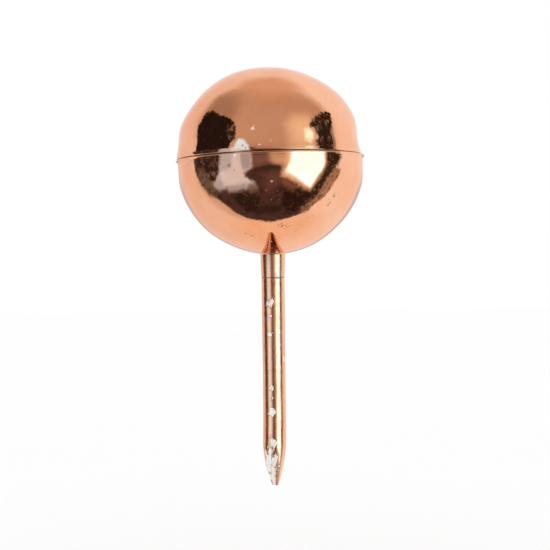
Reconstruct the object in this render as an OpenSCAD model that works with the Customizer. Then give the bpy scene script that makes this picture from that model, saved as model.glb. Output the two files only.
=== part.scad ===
// Ball-head nail: a shouldered round pin riveted into a hollow two-shell ball.
// The pin's tenon goes up through the lower shell's drawn neck and is riveted over inside,
// so that the neck is held between the rivet head and the shoulder on the shank.
// A filling sets over the rivet head, and the upper shell plugs into the lower one.
// Origin: on the axis, at the shoulder, where the neck ends and the bare shank begins.
// +Z runs up to the ball.

/* [Ball] */
// Outer diameter of the ball
ball_d = 10; // [8:0.5:14]
// Thickness of both shells
wall = 0.3; // [0.25:0.01:0.4]
// How far both shells draw in beside the seam
rim_pinch = 0.1; // [0:0.01:0.15]
// How far the crown of the upper shell is flattened
crown_flat = 0.08; // [0:0.01:0.2]
// How much the upper shell's shoulder stands out beyond the sphere
shoulder_full = 0.04; // [0:0.01:0.1]

/* [Seam] */
// Depth that the upper shell plugs into the lower one
lap_depth = 0.45; // [0.3:0.05:0.6]
// Height of the lip round the top of the lower shell
lip_height = 0.1; // [0.05:0.01:0.15]

/* [Neck] */
// Length of the drawn neck from the ball to the shoulder
neck_len = 1.2; // [0.8:0.1:2]
// Diameter of the neck just below the ball
neck_top_d = 1.3; // [1.26:0.01:1.5]
// Radius where the neck turns out into the ball
neck_fillet_r = 0.15; // [0.1:0.01:0.25]

/* [Pin] */
// Diameter of the shank
shank_d = 1.22; // [1.18:0.01:1.24]
// Length of the straight shank from the shoulder to the point
shank_len = 8.9; // [6:0.1:30]
// Length of the point
point_len = 2.15; // [1.5:0.05:4]
// Diameter of the blunt end of the point
point_end_d = 0.28; // [0.1:0.01:0.4]
// Diameter of the tenon that fills the neck
tenon_d = 0.8; // [0.6:0.05:0.85]
// Diameter of the rivet head inside the ball
rivet_d = 1.8; // [1.4:0.1:2.4]
// Height of the rivet head above its edge
rivet_height = 0.45; // [0.3:0.05:0.6]

/* [Filling] */
// Distance from the seam down to the surface of the filling
fill_drop = 1; // [0.65:0.05:2]
// How far the filling climbs the shell at its edge
meniscus = 0.12; // [0.05:0.01:0.15]

/* [Hidden] */
$fn = 96;

ball_r = ball_d / 2;
inner_r = ball_r - wall;
ball_z = neck_len + ball_r;
neck_r = neck_top_d / 2;
shank_r = shank_d / 2;
tenon_r = tenon_d / 2;
tip_z = -shank_len - point_len;

// Spans of latitude, in degrees, over which the shells leave the true sphere
pinch_span = 18;
shoulder_low = 12;
shoulder_high = 60;
crown_span = 45;
lat_step = 3;

// The seam: the upper shell's plug fills the lower shell's mouth up to the lip
rim_r = ball_r - rim_pinch;
lip_r = ball_r;
plug_r = inner_r;
plug_wall = 0.25;
plug_top_lat = 9;

// The neck turns into the ball through neck_turn degrees of its fillet, out to neck_rim_r
neck_turn = 66;
neck_steps = 6;
neck_rim_r = neck_r + neck_fillet_r * (1 - cos(neck_turn));

// The rivet head is a low dome, seated on the inside of the lower shell
rivet_r = rivet_d / 2;
rivet_steps = 6;

// The point: a rounded taper that ends in a small blunt end
point_end_r = point_end_d / 2;
point_end_chamfer = 0.04;
point_curve = 1.6;
point_steps = 14;
point_spacing = 1.3;

// Eases from 1 at t = 0 to 0 at t = 1
function ease(t) = pow(cos(90 * t), 2);

// Radius of the lower shell at latitude a, measured from the seam
function lower_r(a) = ball_r - (abs(a) < pinch_span ? rim_pinch * ease(abs(a) / pinch_span) : 0);

// How far the upper shell stands out at its shoulder, and how far it sinks at its crown
function shoulder(a) =
    a > shoulder_low && a < shoulder_high
        ? shoulder_full * pow(sin(180 * (a - shoulder_low) / (shoulder_high - shoulder_low)), 2)
        : 0;
function crown(a) = 90 - a < crown_span ? crown_flat * ease((90 - a) / crown_span) : 0;

// Radius of the upper shell at latitude a
function upper_r(a) = lower_r(a) + shoulder(a) - crown(a);

// The point at radius r and latitude a from the ball's centre, in the plane of a revolved outline
function at(r, a) = [r * cos(a), ball_z + r * sin(a)];

// Height of the underside of a sphere of radius r, at distance x from the axis, and its latitude
function bowl_z(r, x) = ball_z - sqrt(r * r - x * x);
function bowl_lat(r, x) = -acos(x / r);

// An arc round the ball's centre at radius r, from latitude a0 to a1
function arc(r, a0, a1, steps) = [for (i = [0:steps]) at(r, a0 + (a1 - a0) * i / steps)];

// The rivet head's dome, from its edge up to the axis
function rivet_dome() = [for (i = [0:rivet_steps])
    let (a = 90 * i / rivet_steps)
    [rivet_r * cos(a), bowl_z(inner_r, rivet_r) + rivet_height * sin(a)]];

// Radius of the point at distance t above its end
function point_r(t) = point_end_r + (shank_r - point_end_r) * (1 - pow(1 - t / point_len, point_curve));

module upper_shell()
    color("#e0a080")
    rotate_extrude()
    polygon(concat(
        [[plug_r, ball_z - lap_depth], [plug_r, ball_z], [rim_r, ball_z]],
        [for (a = [lat_step:lat_step:90 - lat_step]) at(upper_r(a), a)],
        [at(upper_r(90), 90), at(upper_r(90) - wall, 90)],
        [for (a = [90 - lat_step:-lat_step:plug_top_lat]) at(upper_r(a) - wall, a)],
        [[plug_r - plug_wall, ball_z], [plug_r - plug_wall, ball_z - lap_depth]]
    ));

// The neck is drawn down out of the shell and tapers until it is flush with the shank
module lower_shell() {
    turn_x = neck_r + neck_fillet_r;
    turn_z = bowl_z(ball_r, neck_rim_r) - neck_fillet_r * sin(neck_turn);
    color("#dc9a78")
    rotate_extrude()
    polygon(concat(
        [[plug_r, ball_z], [lip_r, ball_z], [lip_r, ball_z - lip_height / 2]],
        [[rim_r + lip_height / 4, ball_z - lip_height]],
        [for (a = [-lat_step:-lat_step:-80]) at(lower_r(a), a)],
        [for (i = [0:neck_steps])
            let (a = neck_turn * (1 - i / neck_steps))
            [turn_x - neck_fillet_r * cos(a), turn_z + neck_fillet_r * sin(a)]],
        [[shank_r, 0], [tenon_r, 0]],
        arc(inner_r, bowl_lat(inner_r, tenon_r), bowl_lat(inner_r, rivet_r), 2),
        [for (a = [-78:lat_step:-9]) at(inner_r, a)],
        [[plug_r, ball_z - lap_depth]]
    ));
}

// One length of wire: rounded point, shank, shoulder, tenon and rivet head
module shank_pin()
    color("#e6b090")
    rotate_extrude()
    polygon(concat(
        [[0, tip_z], [point_end_r - point_end_chamfer, tip_z]],
        [for (i = [1:point_steps])
            let (t = point_len * pow(i / point_steps, point_spacing))
            [point_r(t), tip_z + t]],
        [[shank_r, 0], [tenon_r, 0]],
        arc(inner_r, bowl_lat(inner_r, tenon_r), bowl_lat(inner_r, rivet_r), 2),
        [for (p = rivet_dome()) if (p[0] < rivet_r) p]
    ));

// The filling covers the rivet head and climbs the shell a little at its edge
module core_filling() {
    edge_lat = -asin((fill_drop - meniscus) / inner_r);
    bowl_steps = 24;
    color("#d8d2c4")
    rotate_extrude()
    polygon(concat(
        [[0, ball_z - fill_drop], [inner_r - 4 * meniscus, ball_z - fill_drop]],
        arc(inner_r, edge_lat, bowl_lat(inner_r, rivet_r), bowl_steps),
        [for (p = rivet_dome()) if (p[0] < rivet_r) p]
    ));
}

upper_shell();
lower_shell();
shank_pin();
core_filling();
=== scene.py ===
import math

import bmesh
import bpy
import numpy as np
from mathutils import Matrix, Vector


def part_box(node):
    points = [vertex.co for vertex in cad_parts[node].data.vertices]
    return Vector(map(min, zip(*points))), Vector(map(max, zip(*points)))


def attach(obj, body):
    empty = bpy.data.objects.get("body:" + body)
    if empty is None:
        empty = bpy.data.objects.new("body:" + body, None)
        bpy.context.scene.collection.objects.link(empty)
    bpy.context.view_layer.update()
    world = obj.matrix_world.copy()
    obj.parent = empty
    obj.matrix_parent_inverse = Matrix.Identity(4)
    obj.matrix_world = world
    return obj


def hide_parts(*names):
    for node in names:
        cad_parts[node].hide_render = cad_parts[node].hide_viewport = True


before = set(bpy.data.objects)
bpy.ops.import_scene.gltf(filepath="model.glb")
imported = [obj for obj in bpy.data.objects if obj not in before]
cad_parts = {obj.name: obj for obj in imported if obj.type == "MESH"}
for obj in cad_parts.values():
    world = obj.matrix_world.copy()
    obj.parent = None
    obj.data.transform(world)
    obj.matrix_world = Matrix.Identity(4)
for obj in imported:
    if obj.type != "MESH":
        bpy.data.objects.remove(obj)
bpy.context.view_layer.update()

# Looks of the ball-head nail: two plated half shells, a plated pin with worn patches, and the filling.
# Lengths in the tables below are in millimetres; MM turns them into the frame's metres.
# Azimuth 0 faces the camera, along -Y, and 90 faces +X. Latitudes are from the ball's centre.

MM = 0.001

# Driving sizes, from the CAD nodes
lower_low, lower_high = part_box("lower_shell")
upper_low, upper_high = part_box("upper_shell")
pin_low, pin_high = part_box("shank_pin")
BALL_R = (lower_high.x - lower_low.x) / 2 / MM
BALL_Z = lower_high.z / MM
CROWN_Z = upper_high.z / MM - BALL_Z
TIP_Z = pin_low.z / MM
RIVET_TOP_Z = pin_high.z / MM
WALL = 0.3
INNER_R = BALL_R - WALL
SHANK_R = 0.61
NECK_R = 0.65
TENON_R = 0.4
RIVET_R = 0.9
LAP_DEPTH = 0.45
POINT_LEN = 2.15

SEED = 7
rng = np.random.default_rng(SEED)


# ---------------------------------------------------------------- geometry helpers

def ease(t):
    """1 at t = 0, falling smoothly to 0 at t = 1 and beyond."""
    return np.cos(np.clip(np.abs(t), 0, 1) * math.pi / 2) ** 2


def direction(azimuth, elevation):
    a, e = np.radians(azimuth), np.radians(elevation)
    return np.stack([np.cos(e) * np.sin(a), -np.cos(e) * np.cos(a), np.sin(e)], -1)


def arc(centre_r, centre_z, radius, start, end, steps):
    """Profile rows along a circular arc, with angles in degrees."""
    angles = np.radians(np.linspace(start, end, steps))
    return [(centre_r + radius * math.cos(a), centre_z + radius * math.sin(a)) for a in angles]


def line(start, end, steps):
    """Profile rows along a straight line, both ends included."""
    t = np.linspace(0, 1, steps)[:, None]
    rows = (1 - t) * np.array(start) + t * np.array(end)
    return [tuple(row) for row in rows]


class Waves:
    """A smooth random field: a sum of plane waves with wavelengths near one length."""

    def __init__(self, wavelength, count=36):
        directions = rng.normal(size=(count, 3))
        directions /= np.linalg.norm(directions, axis=1, keepdims=True)
        lengths = wavelength * rng.uniform(0.7, 1.5, size=(count, 1))
        self.vectors = directions * 2 * math.pi / lengths
        self.phases = rng.uniform(0, 2 * math.pi, size=count)
        self.gain = math.sqrt(2 / count)

    def __call__(self, points):
        return np.sin(points @ self.vectors.T + self.phases).sum(-1) * self.gain


def turned(profile, around):
    """Points of a profile of (radius, height) rows turned about Z, as rows x around x 3."""
    rows = np.array(profile, float)
    turn = np.linspace(0, 2 * math.pi, around, endpoint=False)
    radius, height = rows[:, :1], rows[:, 1:]
    return np.stack([radius * np.sin(turn), -radius * np.cos(turn), height + 0 * turn], -1)


def mesh_object(name, points, loop, sharp=40):
    """A closed mesh from rows of points in millimetres. A row that is all one point becomes a pole."""
    rows, around = points.shape[:2]
    is_pole = [np.ptp(points[i], axis=0).max() < 1e-9 for i in range(rows)]
    index, verts = [], []
    for i in range(rows):
        if is_pole[i]:
            index.append([len(verts)] * around)
            verts.append(points[i, 0])
        else:
            index.append(list(range(len(verts), len(verts) + around)))
            verts.extend(points[i])
    faces = []
    for i in range(rows if loop else rows - 1):
        a, b = index[i], index[(i + 1) % rows]
        for j in range(around):
            k = (j + 1) % around
            corners = dict.fromkeys((a[j], a[k], b[k], b[j]))
            faces.append(tuple(corners))
    mesh = bpy.data.meshes.new(name)
    mesh.from_pydata([tuple(v * MM) for v in np.array(verts)], [], faces)
    bm = bmesh.new()
    bm.from_mesh(mesh)
    bmesh.ops.recalc_face_normals(bm, faces=bm.faces)
    bm.to_mesh(mesh)
    bm.free()
    mesh.shade_smooth()
    mesh.set_sharp_from_angle(angle=math.radians(sharp))
    obj = bpy.data.objects.new(name, mesh)
    bpy.context.scene.collection.objects.link(obj)
    return obj


def add_attribute(obj, name, function):
    """Stores function(points in millimetres) on the mesh, for its material to read."""
    co = np.zeros(len(obj.data.vertices) * 3, np.float32)
    obj.data.vertices.foreach_get("co", co)
    values = function(co.reshape(-1, 3).astype(float) / MM)
    layer = obj.data.attributes.new(name, "FLOAT", "POINT")
    layer.data.foreach_set("value", values.astype(np.float32))


# ---------------------------------------------------------------- the ball

AROUND = 288
SEAM_ROLL = 1.1           # degrees that the ball sits askew on the pin, down at its left
SEAM_PITCH = 1.0          # and down at its front
SEAM_RISE = 0.08          # the seam's height above the ball's centre
BALL_SHIFT = -0.06        # the ball sits a little to one side of the pin
SEAT_LOW = -45            # degrees of latitude below which the seating starts to fade
SEAT_FADE = 30            # and how many more it takes to fade out
UPPER_SHIFT = -0.07       # and the upper shell a little further
LOWER_PINCH = 0.09        # how far each shell is squeezed in at its sides, beside the seam
UPPER_PINCH = 0.15
FRONT_PINCH = 0.1         # share of the squeeze that is left at the front and back
CROWN_FLAT = BALL_R - CROWN_Z
LIP_R = BALL_R + 0.015
LIP_HALF = 0.035
LIP_CLEARANCE = 0.03      # the height over which the squeeze fades in beside the lip
GAP = 0.03                # the open line of the seam, at its widest
NECK_FILLET = 0.08        # radius where the neck turns out into the ball
NECK_TURN = 66            # degrees of that turn
NECK_TOP = 1.6            # height below which the ball's waves are left out
EDGE_REACH = 0.25         # how far up the neck, and the upper shell, an edge's wave reaches
BROAD_WAVE = 0.004        # heights of the two drawing waves
MIDDLE_WAVE = 0.0009
SEAM_SHADE_REACH = 0.04   # how far the painted shade spreads from the seam and from the neck's edge
NECK_SHADE_REACH = 0.032

# Where the drawn shells swell out (+) or lie flat (-): azimuth, latitude, reach in degrees, height
UPPER_SWELLS = (
    (60, 88, 50, -0.055),
    (90, 31, 32, 0.07),
    (90, 13, 20, -0.09),
    (90, 58, 26, -0.03),
    (-90, 44, 28, -0.06),
    (-90, 68, 30, 0.03),
)
LOWER_SWELLS = (
    (-90, -38, 40, 0.02),
    (90, -28, 30, 0.02),
    (90, -1, 18, -0.045),
)

broad_waves = Waves(2.6)
middle_waves = Waves(0.9)


def azimuth_of(points):
    return np.degrees(np.arctan2(points[..., 0], -points[..., 1]))


def latitude_of(points):
    rel = points - np.array([0, 0, BALL_Z])
    away = np.linalg.norm(rel, axis=-1)
    return np.degrees(np.arcsin(np.clip(rel[..., 2] / np.maximum(away, 1e-6), -1, 1)))


def skin_share(points):
    """1 on the ball's outer skin, falling to 0 inside it."""
    away = np.linalg.norm(points - np.array([0, 0, BALL_Z]), axis=-1)
    return np.clip((away - INNER_R - 0.1) / 0.1, 0, 1)


def seat_ball(points):
    """Sets the ball askew and to one side of the pin, fading out towards the neck."""
    rel = points - np.array([0, 0, BALL_Z])
    latitude = np.degrees(np.arcsin(np.clip(rel[..., 2] / BALL_R, -1, 1)))
    share = np.where(latitude < SEAT_LOW, ease((SEAT_LOW - latitude) / SEAT_FADE), 1)
    roll = np.radians(SEAM_ROLL) * share
    pitch = np.radians(SEAM_PITCH) * share
    x = rel[..., 0] * np.cos(roll) - rel[..., 2] * np.sin(roll)
    z = rel[..., 0] * np.sin(roll) + rel[..., 2] * np.cos(roll)
    y = rel[..., 1] * np.cos(pitch) - z * np.sin(pitch)
    z = rel[..., 1] * np.sin(pitch) + z * np.cos(pitch)
    return np.stack([x + BALL_SHIFT * share, y, z + BALL_Z], -1)


def seam_height(points):
    """Height above the seam's plane, of points on the seated ball."""
    rel = points - np.array([BALL_SHIFT, 0, BALL_Z])
    tilt_x, tilt_y = math.radians(SEAM_ROLL), math.radians(SEAM_PITCH)
    return rel[..., 2] - rel[..., 0] * tilt_x - rel[..., 1] * tilt_y - SEAM_RISE


def seam_open(azimuth):
    """How far open the seam is: widest at the front, nearly shut at the left and at one spot."""
    a = np.radians(azimuth)
    width = 0.55 + 0.4 * np.cos(a - 0.25) + 0.12 * np.sin(5 * a + 1)
    shut = 1 - 0.85 * ease((azimuth + 17) / 13)
    return np.clip(width * shut, 0.12, 1)


def swell(points, swells):
    """Moves the ball's skin out by a smooth swell, or in where its height is negative."""
    rel = points - np.array([0, 0, BALL_Z])
    outward = rel / np.maximum(np.linalg.norm(rel, axis=-1, keepdims=True), 1e-6)
    moved = points.copy()
    for azimuth, latitude, reach, height in swells:
        apart = np.degrees(np.arccos(np.clip(outward @ direction(azimuth, latitude), -1, 1)))
        moved += outward * (height * ease(apart / reach) * skin_share(points))[..., None]
    return moved


def squeeze(points, depth, centre, below, above):
    """Squeezes the ball's skin in at its two sides, round one latitude, sparing the lip."""
    at_side = FRONT_PINCH + (1 - FRONT_PINCH) * ease((np.abs(azimuth_of(points)) - 90) / 60)
    step = latitude_of(points) - centre
    spread = ease(step / np.where(step > 0, above, below))
    from_lip = np.abs(points[..., 2] - BALL_Z - SEAM_RISE + LIP_HALF) - LIP_HALF
    off_lip = np.clip(from_lip / LIP_CLEARANCE, 0, 1)
    radial = points * np.array([1, 1, 0])
    radial /= np.maximum(np.linalg.norm(radial, axis=-1, keepdims=True), 1e-6)
    return points - radial * (depth * at_side * spread * off_lip * skin_share(points))[..., None]


def uneven(points, amount):
    """Moves the ball's skin in and out by its slight drawing waves."""
    rel = points - np.array([0, 0, BALL_Z])
    outward = rel / np.maximum(np.linalg.norm(rel, axis=-1, keepdims=True), 1e-6)
    wave = amount * (BROAD_WAVE * broad_waves(points) + MIDDLE_WAVE * middle_waves(points))
    return points + outward * (wave * skin_share(points))[..., None]


def lower_profile():
    """Up the outside from the neck to the lip, then down the lap and the inside to the tenon's hole."""
    rim_r = NECK_R + NECK_FILLET * (1 - math.cos(math.radians(NECK_TURN)))
    rim_z = -math.sqrt(BALL_R ** 2 - rim_r ** 2)
    fillet_z = rim_z - NECK_FILLET * math.sin(math.radians(NECK_TURN))
    edge = 0.02
    under_lip = -0.12
    neck_low_r = SHANK_R + 0.006
    rows = [(TENON_R, -BALL_Z)]
    rows += arc(neck_low_r - edge, -BALL_Z + edge, edge, -90, 0, 5)
    rows += line((neck_low_r, -BALL_Z + 2 * edge), (NECK_R, fillet_z - 0.02), 24)
    rows += arc(NECK_R + NECK_FILLET, fillet_z, NECK_FILLET, 180, 180 - NECK_TURN, 14)
    start = math.degrees(math.asin(rim_z / BALL_R)) + 1
    latitudes = np.concatenate([np.arange(start, -12, 0.9), np.arange(-12, -1.6, 0.35)])
    rows += [(BALL_R * math.cos(lat), BALL_R * math.sin(lat)) for lat in np.radians(latitudes)]
    lip_z = SEAM_RISE - LIP_HALF
    rows += line((BALL_R, under_lip), (BALL_R, lip_z - LIP_HALF - 0.01), 4)
    rows += arc(LIP_R - LIP_HALF, lip_z, LIP_HALF, -60, 85, 11)
    rows += line((LIP_R - 0.1, SEAM_RISE), (INNER_R, SEAM_RISE), 3)
    rows += line((INNER_R, -0.02), (INNER_R, -LAP_DEPTH), 3)
    inner_start = -math.degrees(math.asin(LAP_DEPTH / INNER_R)) - 1
    inner_end = -math.degrees(math.acos(TENON_R / INNER_R))
    rows += arc(0, 0, INNER_R, inner_start, inner_end, 28)
    rows += line((TENON_R, -BALL_Z + 1.0), (TENON_R, -BALL_Z + 0.2), 3)
    return [(r, z + BALL_Z) for r, z in rows]


def neck_wave(azimuth):
    """Height of the neck's trimmed lower edge, lowest at the front."""
    a = np.radians(azimuth)
    return -0.03 * np.cos(a) + 0.012 * np.sin(5 * a + 2.2) + 0.006 * np.sin(11 * a)


def neck_line(points):
    """Painted shade along the neck's lower edge: 1 there and 0 away from it, fading towards the sides."""
    azimuth = azimuth_of(points)
    share = np.clip(0.35 + 0.65 * np.cos(np.radians(azimuth)), 0.35, 1)
    return share * ease((points[:, 2] - neck_wave(azimuth)) / NECK_SHADE_REACH)


def shape_lower(points):
    """Waves the neck's lower edge, then makes the ball's lower half uneven and seats it."""
    height = points[..., 2]
    outside = np.hypot(points[..., 0], points[..., 1]) > SHANK_R - 0.05
    near_edge = ease(height / EDGE_REACH) * (height < EDGE_REACH) * outside
    wavy = points.copy()
    wavy[..., 2] += neck_wave(azimuth_of(points)) * near_edge
    shaped = squeeze(swell(wavy, LOWER_SWELLS), LOWER_PINCH, centre=-3, below=14, above=8)
    on_ball = (height > NECK_TOP).astype(float)
    return seat_ball(uneven(shaped, on_ball))


def upper_profile():
    """Down the outside from the crown to the rim, round the plug, and up the inside."""
    rows = [(0, CROWN_Z)]
    latitudes = np.concatenate([np.arange(89.2, 14, -0.9), np.arange(14, 2.4, -0.35)])
    for lat_deg in latitudes:
        lat = math.radians(lat_deg)
        radius = BALL_R - CROWN_FLAT * ease((90 - lat_deg) / 48)
        rows.append((radius * math.cos(lat), radius * math.sin(lat)))
    edge = 0.045
    rim_z = SEAM_RISE + GAP
    rows += arc(BALL_R - edge, rim_z + edge, edge, 0, -80, 6)
    rows += [(INNER_R - 0.005, rim_z), (INNER_R - 0.005, rim_z - GAP - 0.02)]
    rows += [(INNER_R - 0.005, -LAP_DEPTH), (INNER_R - 0.25, -LAP_DEPTH), (INNER_R - 0.25, 0.3)]
    rows += arc(0, 0, INNER_R - 0.02, 9, 89, 26)
    rows.append((0, CROWN_Z - WALL))
    return [(r, z + BALL_Z) for r, z in rows]


def shape_upper(points):
    """Makes the upper half uneven, shifts it aside, closes its rim where the seam is shut, and seats it."""
    height = points[..., 2] - BALL_Z
    shift_rise = 0.3
    moved = squeeze(swell(points, UPPER_SWELLS), UPPER_PINCH, centre=9, below=16, above=15)
    moved[..., 0] += UPPER_SHIFT * np.clip(height / shift_rise, 0, 1)
    at_rim = ease((height - SEAM_RISE - GAP) / EDGE_REACH) * skin_share(points)
    moved[..., 2] -= GAP * (1 - seam_open(azimuth_of(points))) * at_rim
    return seat_ball(uneven(moved, 1.0))


def seam_painted_shade(points):
    """Painted shade in the open line of the seam: 1 there and 0 away from it."""
    near_seam = ease((seam_height(points) - GAP / 2) / SEAM_SHADE_REACH)
    return near_seam * seam_open(azimuth_of(points))


def lower_painted_shade(points):
    """Painted shade in the seam and at the neck's lower edge."""
    return np.maximum(seam_painted_shade(points), neck_line(points))


def painted_sheen_side(azimuth):
    """Where the wire and the neck get a painted sheen: pale, dull copper down one side, and fainter down
    another.
    """
    return ease((azimuth + 22) / 17) + 0.35 * ease((azimuth - 82) / 30)


def lower_painted_sheen(points):
    """The neck's side with the painted sheen, fading out up to the ball."""
    on_neck = np.clip((1.3 - points[:, 2]) / 0.7, 0, 1)
    return painted_sheen_side(azimuth_of(points)) * on_neck


def lower_satin(points):
    """1 on the neck, which is less bright than the ball, and 0 on the ball."""
    return np.clip((1.35 - points[:, 2]) / 0.3, 0, 1)


def make_lower_shell():
    obj = mesh_object("lower_shell_plated", shape_lower(turned(lower_profile(), AROUND)), loop=True)
    add_attribute(obj, "painted_shade", lower_painted_shade)
    add_attribute(obj, "satin", lower_satin)
    add_attribute(obj, "sheen_and_rubbing", lower_painted_sheen)
    return obj


def make_upper_shell():
    obj = mesh_object("upper_shell_plated", shape_upper(turned(upper_profile(), AROUND)), loop=False)
    add_attribute(obj, "painted_shade", seam_painted_shade)
    return obj


# ---------------------------------------------------------------- the pin

PIN_AROUND = 112
POINT_END_R = 0.165
POINT_CURVE = 1.7         # how full the point's outline is: 1 would be a straight cone
SHANK_THIN = 0.015        # the wire is a little thinner at the middle of the shank
BOW = -0.028              # and bows a little to one side just above the point
FACET = 0.014             # how flat the point's four swaged sides are
WORN_SIDE = -24           # azimuth of the point's most worn side, and how far round it reaches
WORN_REACH = 60

# Worn patches: azimuth, height, half width in degrees, half height, amount
WORN_PATCHES = (
    (-15, -1.4, 36, 0.58, 1.12),
    (-18, -2.05, 24, 0.25, 0.85),
    (-18, -3.05, 28, 0.4, 0.9),
    (62, -4.25, 22, 0.6, 0.95),
    (-18, -4.95, 30, 0.35, 0.85),
    (-16, -5.85, 34, 0.4, 1.0),
    (-15, -6.4, 20, 0.4, 0.85),
    (-16, -7.15, 34, 0.5, 1.05),
    (-12, -8.7, 44, 0.7, 0.9),
    (150, -3.6, 40, 0.6, 0.9),
    (-130, -6.2, 36, 0.8, 0.9),
    (120, -7.6, 40, 0.7, 0.9),
)
shank_waves = Waves(1.1)
point_waves = Waves(0.35)


def pin_profile():
    """From the point's end up the shank, across the shoulder, up the tenon and over the rivet head."""
    rows = [(0, 0), (POINT_END_R * 0.55, 0.004), (POINT_END_R * 0.85, 0.02)]
    for t in np.linspace(0.035, POINT_LEN, 56):
        rise = 1 - (1 - t / POINT_LEN) ** POINT_CURVE
        rows.append((POINT_END_R + (SHANK_R - POINT_END_R) * rise, t))
    shank_top = -TIP_Z
    rows += line((SHANK_R, POINT_LEN + 0.05), (SHANK_R, shank_top - 0.05), 170)
    rows += [(SHANK_R, shank_top - 0.03), (SHANK_R - 0.02, shank_top - 0.005)]
    rows += [(TENON_R, shank_top), (TENON_R, shank_top + 0.6)]
    seat_z = BALL_Z - math.sqrt(INNER_R ** 2 - RIVET_R ** 2) + shank_top
    tenon_z = BALL_Z - math.sqrt(INNER_R ** 2 - TENON_R ** 2) + shank_top
    rows += [(TENON_R, tenon_z), (RIVET_R, seat_z)]
    dome = RIVET_TOP_Z + shank_top - seat_z
    dome_angles = np.radians([15, 30, 45, 60, 75])
    rows += [(RIVET_R * math.cos(a), seat_z + dome * math.sin(a)) for a in dome_angles]
    rows.append((0, seat_z + dome))
    return [(r, z + TIP_Z) for r, z in rows]


def shape_pin(points):
    """Draws the wire a little uneven, and flattens the point's four swaged sides slightly."""
    height = points[..., 2]
    radius = np.hypot(points[..., 0], points[..., 1])
    outward = points * np.array([1, 1, 0]) / np.maximum(radius, 1e-6)[..., None]
    bare = (height < -0.05) & (radius > 0.02)
    wave = 0.002 * shank_waves(points * np.array([1, 1, 0.45])) + 0.001 * point_waves(points)
    wave -= SHANK_THIN * ease((height + 5.2) / 4)
    low = np.clip((TIP_Z + POINT_LEN + 0.3 - height) / 0.8, 0, 1)
    azimuth = np.radians(azimuth_of(points))
    facets = -FACET * low * np.cos(4 * azimuth + 0.5)
    off_axis = np.clip(radius / 0.2, 0, 1)
    shaped = points + outward * ((wave + facets) * bare * off_axis)[..., None]
    shaped[..., 0] += BOW * ease((height + 9.3) / 2.2)
    return shaped


def wear_amount(points):
    """How worn the plating is. Its material shows mostly steel from about 0.7 up."""
    height = points[:, 2]
    side = azimuth_of(points)
    worn = np.zeros(len(points))
    for azimuth, at, half_width, half_height, amount in WORN_PATCHES:
        across = ((side - azimuth + 180) % 360 - 180) / half_width
        along = (height - at) / half_height
        worn = np.maximum(worn, amount * ease(np.hypot(across, along)))
    towards = ease(((side - WORN_SIDE + 180) % 360 - 180) / WORN_REACH)
    at_point = np.clip((TIP_Z + POINT_LEN + 0.5 - height) / 1.15, 0, 1)
    return np.maximum(worn, at_point * (0.3 + 0.7 * towards))


def pin_sheen_and_rubbing(points):
    """The wire's side with the painted sheen, and the point, which is rubbed all round."""
    at_point = np.clip((TIP_Z + POINT_LEN - 0.1 - points[:, 2]) / 0.8, 0, 1)
    return np.maximum(painted_sheen_side(azimuth_of(points)), 0.5 * at_point)


def make_pin():
    obj = mesh_object("shank_pin_plated", shape_pin(turned(pin_profile(), PIN_AROUND)), loop=False)
    add_attribute(obj, "wear", wear_amount)
    # The wire also takes the painted shade along the neck's lower edge
    add_attribute(obj, "painted_shade", neck_line)
    add_attribute(obj, "sheen_and_rubbing", pin_sheen_and_rubbing)
    return obj


# ---------------------------------------------------------------- materials

class Nodes:
    """Short calls for building a material's node tree."""

    def __init__(self, name):
        self.material = bpy.data.materials.new(name)
        self.material.use_nodes = True
        self.tree = self.material.node_tree
        self.tree.nodes.clear()
        self.output = self.tree.nodes.new("ShaderNodeOutputMaterial")

    def add(self, kind, inputs=None, **settings):
        node = self.tree.nodes.new("ShaderNode" + kind)
        for key, value in settings.items():
            setattr(node, key, value)
        for key, value in (inputs or {}).items():
            if isinstance(value, bpy.types.NodeSocket):
                self.tree.links.new(value, node.inputs[key])
            else:
                node.inputs[key].default_value = value
        return node

    def millimetres(self):
        """The object's own coordinates, in millimetres."""
        coordinates = self.add("TexCoord").outputs["Object"]
        scale = (1 / MM,) * 3
        return self.add("Mapping", {"Vector": coordinates, "Scale": scale}).outputs["Vector"]

    def noise(self, vector, scale, detail=3.0, roughness=0.5):
        inputs = {"Vector": vector, "Scale": scale, "Detail": detail, "Roughness": roughness}
        return self.add("TexNoise", inputs).outputs["Fac"]

    def between(self, value, low, high, to_low=0.0, to_high=1.0):
        inputs = {"Value": value, "From Min": low, "From Max": high, "To Min": to_low, "To Max": to_high}
        return self.add("MapRange", inputs, interpolation_type="SMOOTHSTEP").outputs["Result"]

    def math(self, operation, a, b):
        return self.add("Math", {0: a, 1: b}, operation=operation).outputs["Value"]

    def mix(self, factor, a, b):
        """Mixes two colours."""
        node = self.add("Mix", data_type="RGBA")
        sockets = {"Factor_Float": factor, "A_Color": a, "B_Color": b}
        for socket in node.inputs:
            value = sockets.get(socket.identifier)
            if isinstance(value, bpy.types.NodeSocket):
                self.tree.links.new(value, socket)
            elif value is not None:
                socket.default_value = value
        return next(s for s in node.outputs if s.identifier == "Result_Color")

    def attribute(self, name):
        return self.add("Attribute", attribute_name=name).outputs["Fac"]

    def finish(self, shader):
        self.tree.links.new(shader, self.output.inputs["Surface"])
        return self.material


COPPER = (0.93, 0.45, 0.26, 1)
COPPER_PALE = (0.95, 0.50, 0.31, 1)
WIRE_COPPER = (0.93, 0.43, 0.245, 1)
WIRE_COPPER_PALE = (0.95, 0.48, 0.29, 1)
COPPER_DARK = (0.30, 0.12, 0.06, 1)
# Colour of the painted shade in the seam's open line and along the neck's lower edge
PAINTED_SHADE = (0.05, 0.022, 0.012, 1)
SPECK = (0.95, 0.82, 0.74, 1)
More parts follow.
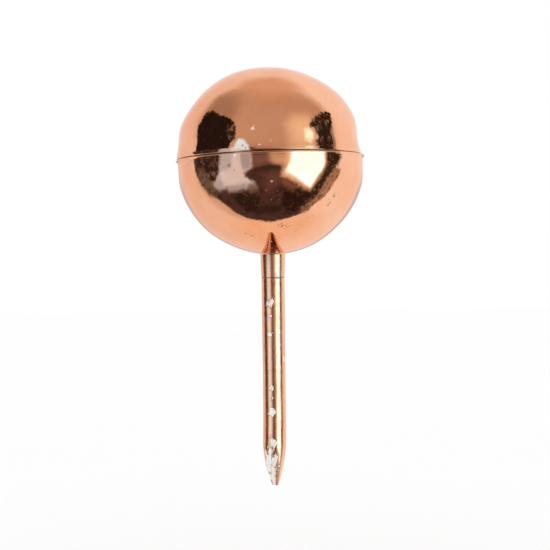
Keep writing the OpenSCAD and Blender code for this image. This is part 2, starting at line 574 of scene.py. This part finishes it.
# Pale, dull copper: painted sheen down one side of the wire and the neck, and rubbed copper at the point
SHEEN_AND_RUBBED = (1.0, 0.63, 0.40, 1)
STEEL = (1.0, 0.94, 0.85, 1)
STEEL_DARK = (0.45, 0.37, 0.29, 1)
EDGE_TINT = (1.0, 0.93, 0.9, 1)
RESIN = (0.52, 0.48, 0.40, 1)
RESIN_PALE = (0.70, 0.66, 0.57, 1)


def orange_peel(nodes, vector, fine, coarse):
    """A bump of two ripples, with heights in metres."""
    ripple = nodes.noise(vector, 3.2, 2.0)
    grain = nodes.noise(vector, 11.0, 2.0)
    return nodes.math("ADD", nodes.math("MULTIPLY", ripple, coarse), nodes.math("MULTIPLY", grain, fine))


# Marks on the ball: azimuth, latitude, radius in millimetres, strength
LIGHT_SPECKS = (
    (-10.5, 12.8, 0.085, 0.8),
    (-10.0, 14.6, 0.04, 0.6),
    (-6.6, 3.4, 0.055, 0.7),
    (-21.1, -2.1, 0.085, 0.8),
    (-30.0, 8.6, 0.05, 0.5),
    (-26.5, 11.5, 0.04, 0.35),
    (0.1, -17.3, 0.055, 0.5),
    (-3.3, -22.5, 0.035, 0.25),
    (3.6, -23.0, 0.035, 0.2),
    (-0.2, -28.5, 0.035, 0.25),
    (4.8, -28.4, 0.035, 0.2),
)
DARK_SPECKS = (
    (-16.2, 3.2, 0.06, 0.8),
    (-14.4, 1.9, 0.05, 0.8),
    (-24.8, -7.5, 0.09, 0.7),
    (-22.0, -10.5, 0.05, 0.6),
)
SCUFFS = (
    (44.2, -28.0, 0.42, 1.7),
    (9.1, -46.6, 0.3, 1.4),
    (-22.5, -52.2, 0.26, 1.2),
    (30.0, -40.0, 0.2, 1.0),
)


def marks(nodes, vector, places, ragged):
    """1 inside round marks at the given places on the ball, with wandering edges."""
    wander = nodes.math("SUBTRACT", nodes.noise(vector, 6.0, 3.0, 0.7), 0.5)
    total = None
    for azimuth, latitude, radius, strength in places:
        centre = np.array([0, 0, BALL_Z]) + BALL_R * direction(azimuth, latitude)
        away = nodes.add("VectorMath", {0: vector, 1: tuple(centre)}, operation="DISTANCE").outputs["Value"]
        away = nodes.math("ADD", away, nodes.math("MULTIPLY", wander, ragged * radius))
        inside = nodes.between(away, 0.7 * radius, 1.3 * radius, strength, 0.0)
        total = inside if total is None else nodes.math("MAXIMUM", total, inside)
    return total


def plated_ball():
    nodes = Nodes("copper_plate")
    vector = nodes.millimetres()
    cloud = nodes.noise(vector, 0.55, 4.0, 0.6)
    colour = nodes.mix(nodes.between(cloud, 0.4, 0.65), COPPER, COPPER_PALE)

    scuff_area = nodes.between(nodes.noise(vector, 0.42, 1.0), 0.6, 0.72, 0.0, 0.6)
    scuff_area = nodes.math("MAXIMUM", scuff_area, marks(nodes, vector, SCUFFS, 1.0))
    scuff_lines = nodes.between(nodes.noise(vector, 4.5, 3.0, 0.7), 0.54, 0.66)
    scuff = nodes.math("MULTIPLY", scuff_area, scuff_lines)
    colour = nodes.mix(nodes.math("MULTIPLY", scuff, 0.5), colour, COPPER_DARK)

    cells = nodes.add("TexVoronoi", {"Vector": vector, "Scale": 1.5, "Randomness": 1.0})
    cell_value = nodes.add("SeparateColor", {"Color": cells.outputs["Color"]}).outputs[0]
    chosen = nodes.math("GREATER_THAN", cell_value, 0.85)
    dot = nodes.between(cells.outputs["Distance"], 0.03, 0.06, 1.0, 0.0)
    light = marks(nodes, vector, LIGHT_SPECKS, 1.1)
    speck = nodes.math("MAXIMUM", nodes.math("MULTIPLY", dot, chosen), light)
    colour = nodes.mix(nodes.math("MULTIPLY", speck, 0.85), colour, SPECK)
    dark = marks(nodes, vector, DARK_SPECKS, 1.3)
    colour = nodes.mix(nodes.math("MULTIPLY", dark, 0.85), colour, COPPER_DARK)
    # Painted sheen down one side of the neck: pale, dull copper
    sheen_and_rubbing = nodes.attribute("sheen_and_rubbing")
    colour = nodes.mix(sheen_and_rubbing, colour, SHEEN_AND_RUBBED)
    dulled = nodes.math("MULTIPLY", nodes.math("MAXIMUM", light, sheen_and_rubbing), 0.8)
    metallic = nodes.math("SUBTRACT", 1.0, dulled)

    # Painted shade: darkens and dulls the open seam and the neck's lower edge
    painted_shade = nodes.attribute("painted_shade")
    colour = nodes.mix(painted_shade, colour, PAINTED_SHADE)

    haze = nodes.between(nodes.noise(vector, 1.3, 5.0, 0.65), 0.35, 0.75, 0.035, 0.085)
    rough = nodes.math("ADD", haze, nodes.math("MULTIPLY", nodes.math("MAXIMUM", speck, scuff), 0.25))
    rough = nodes.math("ADD", rough, nodes.math("MULTIPLY", painted_shade, 0.4))
    rough = nodes.math("ADD", rough, nodes.math("MULTIPLY", nodes.attribute("satin"), 0.2))

    height = orange_peel(nodes, vector, 2.2e-7, 1.6e-6)
    height = nodes.math("ADD", height, nodes.math("MULTIPLY", speck, 6e-6))
    normal = nodes.add("Bump", {"Height": height, "Distance": 1.0, "Strength": 1.0}).outputs["Normal"]
    shader = nodes.add("BsdfPrincipled", {
        "Base Color": colour, "Metallic": metallic, "Roughness": rough, "Normal": normal,
        "Specular Tint": EDGE_TINT,
    })
    return nodes.finish(shader.outputs["BSDF"])


def plated_pin():
    nodes = Nodes("plated_wire")
    vector = nodes.millimetres()
    along = nodes.add("Mapping", {"Vector": vector, "Scale": (1, 1, 0.45)}).outputs["Vector"]
    cloud = nodes.noise(along, 1.1, 3.0)
    copper = nodes.mix(nodes.between(cloud, 0.35, 0.7), WIRE_COPPER, WIRE_COPPER_PALE)
    # Painted sheen down one side of the wire, and rubbed copper at the point: pale and dull
    sheen_and_rubbing = nodes.attribute("sheen_and_rubbing")
    copper = nodes.mix(sheen_and_rubbing, copper, SHEEN_AND_RUBBED)

    flaking = nodes.noise(along, 3.6, 4.0, 0.65)
    wear = nodes.math("ADD", nodes.math("MULTIPLY", nodes.attribute("wear"), 0.36), flaking)
    bare = nodes.between(wear, 0.73, 0.77)
    flake_edge = nodes.math("MULTIPLY", nodes.between(wear, 0.685, 0.715), 0.55)
    copper = nodes.mix(flake_edge, copper, COPPER_DARK)
    steel = nodes.mix(nodes.between(nodes.noise(vector, 7.0, 4.0, 0.7), 0.55, 0.68), STEEL, STEEL_DARK)
    colour = nodes.mix(bare, copper, steel)
    dulled = nodes.math("MAXIMUM", nodes.math("MULTIPLY", bare, 0.75), nodes.math("MULTIPLY", sheen_and_rubbing, 0.85))
    metallic = nodes.math("SUBTRACT", 1.0, dulled)
    # Painted shade along the neck's lower edge, reaching onto the top of the wire
    painted_shade = nodes.attribute("painted_shade")
    colour = nodes.mix(painted_shade, colour, PAINTED_SHADE)

    haze = nodes.between(nodes.noise(along, 3.0, 4.0, 0.6), 0.3, 0.7, 0.17, 0.27)
    rough = nodes.math("ADD", haze, nodes.math("MULTIPLY", bare, 0.2))
    rough = nodes.math("ADD", rough, nodes.math("MULTIPLY", painted_shade, 0.3))

    height = orange_peel(nodes, vector, 3e-7, 1.6e-6)
    height = nodes.math("ADD", height, nodes.math("MULTIPLY", bare, -8e-6))
    scratches = nodes.math("MULTIPLY", nodes.noise(vector, 9.0, 4.0, 0.7), nodes.math("MULTIPLY", bare, 6e-6))
    height = nodes.math("ADD", height, scratches)
    normal = nodes.add("Bump", {"Height": height, "Distance": 1.0, "Strength": 1.0}).outputs["Normal"]
    shader = nodes.add("BsdfPrincipled", {
        "Base Color": colour, "Metallic": metallic, "Roughness": rough, "Normal": normal,
        "Specular Tint": EDGE_TINT,
    })
    return nodes.finish(shader.outputs["BSDF"])


def cast_filling():
    nodes = Nodes("cast_filling")
    vector = nodes.millimetres()
    grain = nodes.noise(vector, 5.0, 6.0, 0.7)
    colour = nodes.mix(nodes.between(grain, 0.35, 0.65), RESIN, RESIN_PALE)
    rough = nodes.between(grain, 0.3, 0.7, 0.55, 0.8)
    height = nodes.math("MULTIPLY", grain, 8e-6)
    normal = nodes.add("Bump", {"Height": height, "Distance": 1.0, "Strength": 1.0}).outputs["Normal"]
    shader = nodes.add("BsdfPrincipled", {"Base Color": colour, "Roughness": rough, "Normal": normal})
    return nodes.finish(shader.outputs["BSDF"])


# ---------------------------------------------------------------- the studio

def depth_inside(points, outline):
    """Distance in degrees from each point to an outline's nearest side, negative outside it."""
    nearest = np.full(len(points), 1e9)
    inside = np.zeros(len(points), bool)
    corners = np.array(outline, float)
    for start, end in zip(corners, np.roll(corners, -1, axis=0)):
        side = end - start
        t = np.clip(((points - start) @ side) / max(side @ side, 1e-9), 0, 1)
        nearest = np.minimum(nearest, np.linalg.norm(points - start - t[:, None] * side, axis=1))
        spans = (start[1] > points[:, 1]) != (end[1] > points[:, 1])
        rise = side[1] if side[1] else 1e-9
        inside ^= spans & (points[:, 0] < start[0] + side[0] * (points[:, 1] - start[1]) / rise)
    return np.where(inside, nearest, -nearest)


def card_material(name, colour, soft, ragged, second, cover, leaf):
    """Light of one colour, patched with a second, that fades out at a ragged edge."""
    nodes = Nodes(name)
    vector = nodes.add("TexCoord").outputs["Object"]
    leafy = nodes.add("TexNoise", {"Vector": vector, "Scale": leaf, "Detail": 2.0, "Distortion": 0.8})
    patches = nodes.between(leafy.outputs["Fac"], 0.62 - 0.3 * cover, 0.74 - 0.3 * cover)
    tone = nodes.mix(patches, (*colour, 1), (*second, 1))
    light = nodes.add("Emission", {"Color": tone})
    wander = nodes.math("SUBTRACT", nodes.noise(vector, 30.0, 3.0, 0.6), 0.5)
    depth = nodes.math("ADD", nodes.attribute("depth"), nodes.math("MULTIPLY", wander, ragged))
    fade = nodes.between(depth, -soft / 2, soft / 2)
    clear = nodes.add("BsdfTransparent")
    shader = nodes.add("MixShader", {0: fade, 1: clear.outputs[0], 2: light.outputs[0]})
    return nodes.finish(shader.outputs[0])


def card(name, outline, colour, distance, soft=2.0, ragged=2.0, second=None, cover=0.5, leaf=15.0):
    """A glowing or dark card round the nail: its corners are (azimuth, elevation) in degrees."""
    step = 2.0
    margin = soft / 2 + ragged / 2 + step
    low = np.min(outline, axis=0) - margin
    high = np.max(outline, axis=0) + margin
    columns = np.arange(low[0], high[0] + step, step)
    rows = np.arange(max(low[1], -89), min(high[1], 89) + step, step)
    flat = np.stack(np.meshgrid(columns, rows, indexing="ij"), -1).reshape(-1, 2)
    depth = depth_inside(flat, outline)
    places = np.array([0, 0, BALL_Z * MM]) + distance * direction(flat[:, 0], flat[:, 1])
    faces = []
    for i in range(len(columns) - 1):
        for j in range(len(rows) - 1):
            k = i * len(rows) + j
            corners = (k, k + len(rows), k + len(rows) + 1, k + 1)
            if max(depth[list(corners)]) > -margin:
                faces.append(corners)
    mesh = bpy.data.meshes.new(name)
    mesh.from_pydata([tuple(place) for place in places], [], faces)
    layer = mesh.attributes.new("depth", "FLOAT", "POINT")
    layer.data.foreach_set("value", depth.astype(np.float32))
    mesh.materials.append(card_material(name, colour, soft, ragged, second or colour, cover, leaf))
    obj = bpy.data.objects.new(name, mesh)
    bpy.context.scene.collection.objects.link(obj)
    obj.visible_camera = False
    obj.visible_diffuse = False
    obj.visible_shadow = False
    return obj


TENT_LEFT = (0.89, 0.86, 0.86, 1)
TENT_RIGHT = (1.0, 1.03, 1.06, 1)
TENT_TOP = (0.75, 0.60, 0.51, 1)
TENT_FLOOR = (0.95, 0.81, 0.69, 1)


def tent():
    """The pale light tent round it all: dimmer at the left, and warm overhead and below."""
    nodes = Nodes("tent_cloth")
    normal = nodes.add("NewGeometry").outputs["Normal"]
    parts = nodes.add("SeparateXYZ", {"Vector": normal})
    overhead = nodes.between(parts.outputs["Z"], -0.82, -0.97)
    underneath = nodes.between(parts.outputs["Z"], 0.66, 1.0)
    rightwards = nodes.between(parts.outputs["X"], 0.8, -0.8)
    cloth = nodes.mix(rightwards, TENT_LEFT, TENT_RIGHT)
    colour = nodes.mix(overhead, cloth, TENT_TOP)
    colour = nodes.mix(underneath, colour, TENT_FLOOR)
    nodes.finish(nodes.add("Emission", {"Color": colour, "Strength": 1.0}).outputs[0])
    bpy.ops.mesh.primitive_uv_sphere_add(segments=96, ring_count=48, radius=0.6)
    obj = bpy.context.object
    obj.name = "tent"
    obj.location = (0, 0, BALL_Z * MM)
    obj.data.flip_normals()
    obj.data.materials.append(nodes.material)
    obj.visible_camera = False
    obj.visible_diffuse = False
    obj.visible_shadow = False


def studio():
    """The tent, and the cards in it that the ball and the wire mirror.

    The cards are set so that the mirror looks as it does in the photo, and aren't part of
    the nail. The third value is a card's colour and the fourth its distance in metres. Where two
    cards overlap, the nearer one hides the other.
    """
    tent()
    card("behind", [(150, -5), (158, 4), (180, 8), (202, 4), (210, -5), (202, -14), (180, -18),
                    (158, -14)], (0.64, 0.63, 0.65), 0.59, soft=12)
    card("floor_left", [(-101, -16), (-96, -40), (-88, -60), (-70, -72), (-60, -60), (-70, -12)],
         (0.70, 0.62, 0.56), 0.585, soft=16)
    card("ceiling", [(-104, 20), (-112, 40), (-118, 50), (-116, 64), (-80, 77), (-30, 78), (0, 78),
                     (55, 77), (92, 68), (102, 54), (96, 30), (90, 20), (60, 8), (-60, 8)],
         (0.57, 0.47, 0.39), 0.58, soft=28, ragged=4)
    card("ceiling_left", [(-103, 30), (-112, 42), (-118, 51), (-108, 60), (-90, 65), (-66, 62), (-54, 52),
                          (-60, 30)], (0.40, 0.325, 0.27), 0.57, soft=24, ragged=6)
    card("ceiling_front", [(-45, 14), (-50, 32), (-38, 46), (-24, 40), (-20, 14)],
         (0.60, 0.48, 0.40), 0.56, soft=20)
    card("ceiling_low", [(-26, 2), (-24, 14), (0, 16), (34, 14), (36, 2)],
         (0.46, 0.345, 0.28), 0.552, soft=11)
    card("room", [(-107, 7), (-106, -3), (-101, -10), (-97, -18), (-90, -29), (-84, -38), (-80, -48),
                  (-78, -58), (-72, -67), (-58, -76), (-30, -82), (0, -84), (30, -82), (52, -77), (67, -71),
                  (74, -63), (74, -53), (76, -44), (84, -34), (88, -22), (95, -7), (86, -6), (98, 4),
                  (98, 7)],
         (0.08, 0.052, 0.052), 0.55, soft=4, ragged=8, second=(0.048, 0.035, 0.035), cover=0.45)
    card("room_front", [(-8, -22), (4, -17), (16, -20), (18, -32), (4, -38), (-8, -46)],
         (0.135, 0.083, 0.08), 0.545, soft=12, ragged=6)
    card("table_left", [(-62, -42), (-50, -38), (-34, -42), (-20, -48), (-20, -60), (-36, -68), (-56, -62)],
         (0.028, 0.022, 0.02), 0.54, soft=8, ragged=12, second=(0.075, 0.06, 0.056), cover=0.25, leaf=22)
    card("table_right", [(18, -42), (38, -37), (58, -38), (68, -46), (66, -58), (56, -66), (36, -66),
                         (20, -56)],
         (0.025, 0.016, 0.014), 0.54, soft=6, ragged=12, second=(0.075, 0.055, 0.045), cover=0.25, leaf=22)
    card("streaks", [(62, -44), (76, -46), (80, -56), (72, -62), (60, -56)],
         (0.24, 0.18, 0.14), 0.53, soft=6, ragged=10, second=(0.05, 0.04, 0.03), cover=0.45, leaf=24)
    card("table_front", [(-24, -60), (24, -60), (30, -68), (0, -73), (-30, -68)],
         (0.04, 0.027, 0.027), 0.535, soft=8)
    card("flag_left", [(-110, 38), (-104, 40), (-95, 42), (-67, 43), (-58, 42), (-50, 38), (-45, 32),
                       (-43, 24), (-41, 19), (-47, 17), (-50, 8), (-52, 4), (-101, 4), (-103, 12),
                       (-105.5, 20), (-105, 24), (-104.5, 30), (-108, 35)],
         (0.018, 0.013, 0.012), 0.52, soft=2, ragged=8, second=(0.09, 0.07, 0.06), cover=-0.12, leaf=24)
    card("flag_left_edge", [(-58, 36), (-50, 38), (-45, 32), (-42, 22), (-48, 17), (-56, 22)],
         (0.024, 0.018, 0.016), 0.515, soft=4, ragged=8, second=(0.26, 0.19, 0.15), cover=0.44, leaf=28)
    card("flag_right_edge", [(84, 4), (84, 28), (90, 31), (96, 30), (94, 18), (93, 4)],
         (0.31, 0.31, 0.33), 0.525, soft=6, ragged=5)
    card("flag_right", [(56, 30), (60, 35), (66, 39), (75, 41), (90, 42), (100, 40), (105, 36), (97, 28),
                        (89, 22), (87, 4), (66, 4), (62, 13), (58, 16), (64, 21), (61, 27)],
         (0.03, 0.024, 0.02), 0.52, soft=2, ragged=11, second=(0.3, 0.24, 0.2), cover=0.33, leaf=26)
    card("flag_right_core", [(72, 24), (76, 34), (88, 37), (84, 28), (80, 16), (74, 8), (68, 8)],
         (0.022, 0.017, 0.014), 0.516, soft=6, ragged=10, second=(0.16, 0.12, 0.1), cover=0.2, leaf=28)
    card("wall_left", [(-101, 4), (-59, 4), (-60, -5), (-68, -14), (-76, -22), (-88, -24), (-98, -18)],
         (0.035, 0.025, 0.024), 0.51, soft=3, ragged=8, second=(0.19, 0.15, 0.14), cover=0.35, leaf=26)
    card("wall_left_edge", [(-100, -4), (-90, -6), (-82, -16), (-78, -26), (-86, -34), (-95, -28),
                            (-99, -18)],
         (0.17, 0.16, 0.16), 0.508, soft=6, ragged=8, second=(0.06, 0.05, 0.05), cover=0.35, leaf=26)
    card("wall_right_dark", [(70, 6), (96, 4), (88, -4), (84, -10), (78, -30), (68, -40), (60, -36),
                             (64, -20), (70, -9)],
         (0.035, 0.026, 0.02), 0.512, soft=3, ragged=8, second=(0.2, 0.16, 0.13), cover=0.32, leaf=28)
    card("wall_right", [(84, -7), (95, -6), (89, -20), (86, -32), (79, -44), (75, -54), (69, -48), (72, -34),
                        (75, -20)],
         (0.4, 0.33, 0.26), 0.51, soft=4, ragged=8, second=(0.17, 0.13, 0.1), cover=0.35, leaf=26)
    card("side_light", [(-22, 1), (4, 1), (2, -6), (-22, -13)], (0.2, 0.15, 0.145), 0.485, soft=8)
    card("shelf", [(0, 2), (24, 2), (24, -9), (14, -10), (6, -8), (0, -4)],
         (0.66, 0.54, 0.44), 0.48, soft=10, ragged=4)
    card("seam_shadow", [(-22, 8), (8, 8), (18, 5), (8, 2.5), (-22, 1.5)],
         (0.06, 0.04, 0.035), 0.478, soft=2.5, ragged=2)
    card("shade", [(-32, -17), (-22, -13.5), (-8, -11), (6, -10), (14, -10.5), (17, -13), (12, -14),
                   (-6, -15.5), (-20, -17)], (0.055, 0.038, 0.032), 0.475, soft=3, ragged=3)
    card("panel", [(-57, 5), (-23, 5), (-22, -12), (-34, -18), (-32, -24), (-22, -31), (-20, -37),
                   (-34, -37), (-50, -33), (-70, -29), (-79, -25), (-68, -14), (-59, -5)],
         (0.74, 1.03, 1.42), 0.46, soft=6, ragged=6)
    card("panel_corner", [(-60, 4), (-47, 3), (-48, -10), (-56, -12), (-66, -10)],
         (0.54, 0.74, 1.0), 0.456, soft=6, ragged=6)
    card("panel_tip", [(-80, -23), (-66, -17), (-64, -31), (-76, -30)],
         (0.48, 0.64, 0.85), 0.457, soft=8, ragged=8)
    card("panel_hem", [(-62, -29), (-34, -31), (-34, -38), (-62, -35)],
         (0.45, 0.59, 0.79), 0.4565, soft=7, ragged=5)
    card("panel_shade", [(-36, 3), (-24, 3), (-23, -12), (-34, -14)], (0.43, 0.57, 0.8), 0.455, soft=5)
    card("panel_foot", [(-32, -33), (-20, -32), (-19, -40), (-32, -42)], (0.2, 0.2, 0.22), 0.4545, soft=9)
    card("skylight", [(-47, 3), (-43.5, 10), (-41, 16), (-37, 19), (-30, 19), (-24, 14), (-23, 3)],
         (0.80, 1.52, 2.35), 0.44, soft=3, ragged=4)
    card("glow", [(28, 16), (26, 34), (40, 46), (60, 42), (62, 18), (50, 10)],
         (0.92, 0.86, 0.72), 0.54, soft=26)
    card("lamp", [(45, 21), (47, 28), (55, 29), (58, 23), (52, 17)],
         (1.05, 1.75, 1.8), 0.53, soft=6, ragged=5)
    card("window_foot", [(14, -22), (30, -30), (40, -34), (34, -39), (18, -34)],
         (0.2, 0.12, 0.09), 0.435, soft=7, ragged=8)
    card("window_edge", [(19, 5), (70, 5), (72, -6), (62, -24), (57, -34), (46, -34), (30, -28), (14, -22),
                         (15, -14), (18, -8)], (0.95, 0.86, 0.68), 0.43, soft=8, ragged=5)
    card("window", [(26, 6), (68, 6), (69, -8), (61, -20), (56, -32), (47, -30), (34, -24), (18.5, -17),
                    (22, -8)], (1.2, 2.4, 3.2), 0.42, soft=5)


def floor_and_backdrop():
    nodes = Nodes("pale_floor")
    vector = nodes.add("TexCoord").outputs["Object"]
    tone = nodes.mix(nodes.noise(vector, 30.0, 3.0), (0.98, 0.98, 0.98, 1), (1.0, 1.0, 1.0, 1))
    nodes.finish(nodes.add("BsdfDiffuse", {"Color": tone}).outputs[0])
    bpy.ops.mesh.primitive_plane_add(size=1.0, location=(0, 0, (TIP_Z - 6) * MM))
    floor = bpy.context.object
    floor.name = "pale_floor"
    floor.data.materials.append(nodes.material)
    floor.visible_glossy = False
    world = bpy.data.worlds.new("white_surround")
    world.use_nodes = True
    world.node_tree.nodes["Background"].inputs["Color"].default_value = (1, 1, 1, 1)
    world.node_tree.nodes["Background"].inputs["Strength"].default_value = 1.0
    bpy.context.scene.world = world


def camera():
    distance = 63 * MM
    frame_width = 29.2 * MM
    aside = 0.11 * MM
    roll = math.radians(0.7)
    data = bpy.data.cameras.new("camera")
    data.sensor_width = 36
    data.lens = data.sensor_width * distance / frame_width
    data.clip_start = 0.001
    data.clip_end = 5
    obj = bpy.data.objects.new("camera", data)
    place = Matrix.Translation((aside, -distance, aside))
    level = Matrix.Rotation(math.pi / 2, 4, "X")
    obj.matrix_world = place @ level @ Matrix.Rotation(-roll, 4, "Z")
    bpy.context.scene.collection.objects.link(obj)
    bpy.context.scene.camera = obj


# ---------------------------------------------------------------- assembly

plate = plated_ball()
wire = plated_pin()

upper = make_upper_shell()
upper.data.materials.append(plate)
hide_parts("upper_shell")
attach(upper, "root")

lower = make_lower_shell()
lower.data.materials.append(plate)
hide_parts("lower_shell")
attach(lower, "root")

pin = make_pin()
pin.data.materials.append(wire)
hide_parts("shank_pin")
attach(pin, "root")

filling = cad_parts["core_filling"]
filling.data.materials.clear()
filling.data.materials.append(cast_filling())

studio()
floor_and_backdrop()
camera()
bpy.context.scene.view_settings.view_transform = "Standard"
